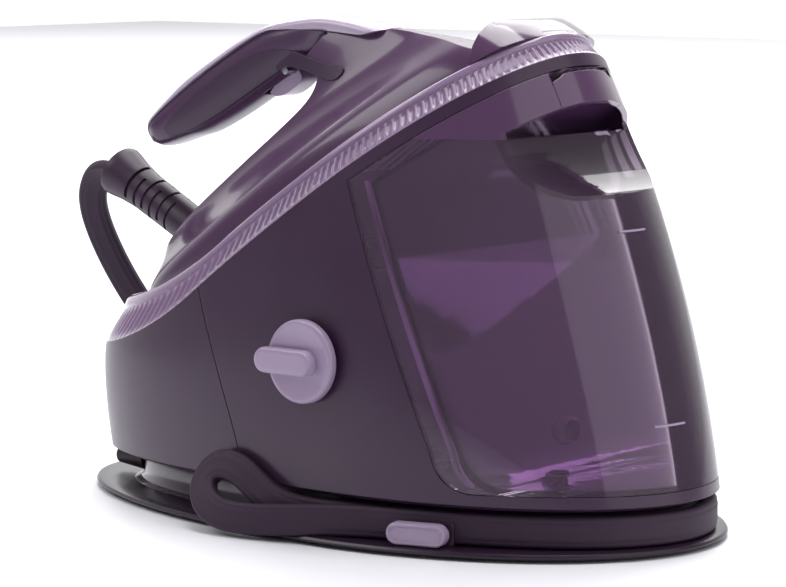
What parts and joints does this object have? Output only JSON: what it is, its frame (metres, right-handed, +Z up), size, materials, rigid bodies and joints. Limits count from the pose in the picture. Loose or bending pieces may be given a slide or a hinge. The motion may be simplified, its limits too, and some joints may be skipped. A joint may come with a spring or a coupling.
{
  "type": "steam generator iron",
  "caption": "Steam iron resting on the sloping platform of its generator base, with a slide-out water tank, wrapped steam hose, de-calc plug and carry lock.",
  "frame": {"origin": "on the ground, midway along and across the base's foot plate", "axes": "+X along the base from the heel end to the tank end, +Y across it to the side of the power button, +Z up"},
  "size_m": [0.4895, 0.262, 0.294],
  "materials": {
    "casing": "satin gloss",
    "plate": "satin",
    "feet": "matt",
    "steel": "brushed",
    "neck": "gloss",
    "ring": "gloss",
    "platform": "matt",
    "silicone": "matt",
    "bay": "satin",
    "boiler": "cast",
    "brass": "machined",
    "board": "matt",
    "inner_plastic": "matt",
    "pipe": "matt",
    "light": "satin",
    "hose": "woven sleeve",
    "clear_tank": "clear, tinted",
    "hood": "gloss",
    "iron_body": "gloss",
    "handle": "satin",
    "cover": "gloss",
    "grip": "soft touch",
    "soleplate": "polished",
    "spring": "wire"
  },
  "bodies": {
    "base": {"foot_plate": "plate", "rubber_feet": "feet", "base_screws": "steel", "base_neck": "neck", "body_shell": "casing", "rear_cover": "casing", "trim_ring": "ring", "iron_platform": "platform", "platform_rests": "silicone", "tank_bay": "bay", "boiler": "boiler", "boiler_element": "steel", "decalc_collar": "casing", "pump": "inner_plastic", "solenoid_valve": "brass", "control_board": "board", "docking_socket": "inner_plastic", "docking_seal": "silicone", "water_pipe": "pipe", "steam_pipe": "pipe", "hose_outlet": "neck", "mains_gland": "feet", "hose_clip": "casing", "clip_springs": "spring", "power_switch": "inner_plastic", "power_spring": "spring", "hose_fall": "hose", "hose_outer": "hose", "hose_loop": "hose", "hose_inner": "hose"},
    "decalc_plug": {"decalc_plug": "brass"},
    "decalc_knob": {"decalc_knob": "light"},
    "clip_button": {"clip_button": "light"},
    "power_button": {"power_button": "light"},
    "carry_lock": {"carry_lock": "light"},
    "tank": {"tank_shell": "clear_tank", "tank_hood": "hood", "valve_spigot": "inner_plastic", "valve_spring": "spring"},
    "filler_lid": {"filler_lid": "hood"},
    "valve_poppet": {"valve_poppet": "silicone"},
    "iron": {"soleplate": "soleplate", "heater_casting": "boiler", "thermostat": "steel", "iron_shell": "iron_body", "handle_core": "handle", "handle_top_cover": "cover", "handle_grips": "grip", "hose_sleeve": "feet", "trigger_pin": "steel", "trigger_spring": "spring", "micro_switch": "inner_plastic", "hose_at_iron": "hose"},
    "trigger": {"trigger": "light"}
  },
  "joints": [
    {"name": "iron_lift", "type": "slide", "parent": "base", "child": "iron", "axis": [0, 0, 1], "range_m": [0, 0.08]},
    {"name": "trigger_pull", "type": "hinge", "parent": "iron", "child": "trigger", "pos_m": [-0.0719, 0, 0.25918], "axis": [0, 1, 0], "range_deg": [0, 8], "stiffness_Nm_per_rad": 0.05, "springref_deg": -11.46, "deforming": ["trigger_spring"]},
    {"name": "lock_slide", "type": "slide", "parent": "base", "child": "carry_lock", "axis": [-0.8246, 0, -0.5657], "range_m": [0, 0.008]},
    {"name": "plug_pull", "type": "slide", "parent": "base", "child": "decalc_plug", "axis": [0, -1, 0], "range_m": [0, 0.06]},
    {"name": "knob_turn", "type": "hinge", "parent": "decalc_plug", "child": "decalc_knob", "pos_m": [0.0289, -0.1125, 0.1025], "axis": [0, -1, 0], "range_deg": [0, 90]},
    {"name": "tank_slide", "type": "slide", "parent": "base", "child": "tank", "axis": [1, 0, 0], "range_m": [0, 0.12]},
    {"name": "lid_hinge", "type": "hinge", "parent": "tank", "child": "filler_lid", "pos_m": [0.1395, 0, 0.2625], "axis": [0, -1, 0], "range_deg": [0, 70]},
    {"name": "clip_press", "type": "slide", "parent": "base", "child": "clip_button", "axis": [-0.2641, 0.9645, 0], "range_m": [0, 0.003], "stiffness_N_per_m": 300, "springref_m": -0.003, "deforming": ["clip_springs"]},
    {"name": "power_press", "type": "slide", "parent": "base", "child": "power_button", "axis": [0, -1, 0], "range_m": [0, 0.002], "stiffness_N_per_m": 400, "springref_m": -0.002, "deforming": ["power_spring"]},
    {"name": "valve_open", "type": "slide", "parent": "tank", "child": "valve_poppet", "axis": [1, 0, 0], "range_m": [0, 0.002], "stiffness_N_per_m": 400, "springref_m": -0.002, "deforming": ["valve_spring"]}
  ]
}
